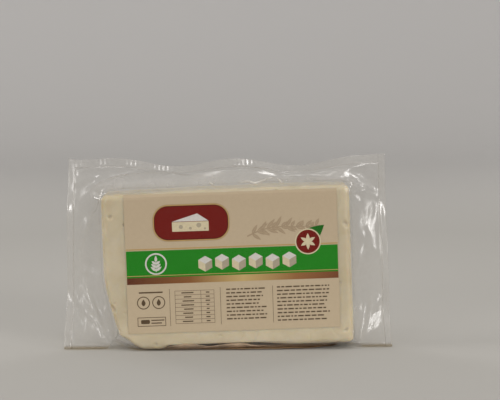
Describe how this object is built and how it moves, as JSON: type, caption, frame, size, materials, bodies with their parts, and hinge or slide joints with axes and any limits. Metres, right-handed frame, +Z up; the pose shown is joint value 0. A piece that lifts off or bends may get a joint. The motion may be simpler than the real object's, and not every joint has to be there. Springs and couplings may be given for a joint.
{
  "type": "vacuum packed cheese block",
  "caption": "Block of white brined cheese sealed in a clear vacuum pouch with a printed label, standing on its long lower edge.",
  "frame": {"origin": "on the ground under the middle of the pack's bounding box", "axes": "+X along the pack's width, to the viewer's right of its printed side; +Y through its thickness, away from the printed side; +Z up"},
  "size_m": [0.209, 0.0369, 0.1231],
  "materials": {
    "pouch": "glossy clear film over cream-white cheese",
    "label": "satin printed sheet under the film"
  },
  "bodies": {
    "root": {"vacuum_pouch": "pouch", "printed_label": "label"}
  },
  "joints": []
}
